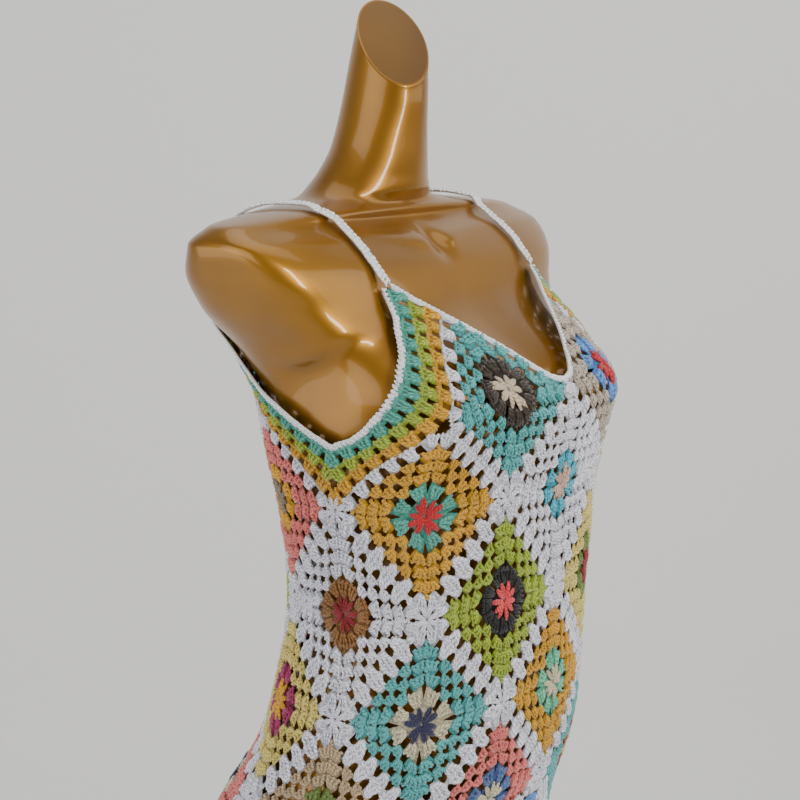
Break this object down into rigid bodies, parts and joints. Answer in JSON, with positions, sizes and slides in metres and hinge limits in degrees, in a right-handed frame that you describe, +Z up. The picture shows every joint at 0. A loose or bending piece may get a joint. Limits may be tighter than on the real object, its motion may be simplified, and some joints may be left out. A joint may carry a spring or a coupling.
{
  "type": "crochet dress on a dress form",
  "caption": "Sleeveless crochet slip dress of granny squares with thin straps, worn by a limbless dress form on a pole with a round foot plate.",
  "frame": {"origin": "centre of the foot plate's underside, which is the centre of the bounding box's bottom", "axes": "+Z up the pole; the form faces -Y and its own right side is at -X"},
  "size_m": [0.3994, 0.38, 1.5042],
  "materials": {
    "cotton_yarn": "crocheted mercerised cotton in many colours, matt to silky",
    "white_yarn": "crocheted white cotton",
    "gold_lacquer": "high-gloss gold lacquer on fibreglass",
    "stand_steel": "satin"
  },
  "bodies": {
    "root": {"dress_front": "cotton_yarn", "dress_back": "cotton_yarn", "neck_edging_front": "white_yarn", "neck_edging_back": "white_yarn", "armhole_edging_right": "white_yarn", "armhole_edging_left": "white_yarn", "strap_right": "white_yarn", "strap_left": "white_yarn", "dress_form": "gold_lacquer", "form_collar": "stand_steel", "pole": "stand_steel", "pole_hub": "stand_steel", "foot_plate": "stand_steel"}
  },
  "joints": []
}
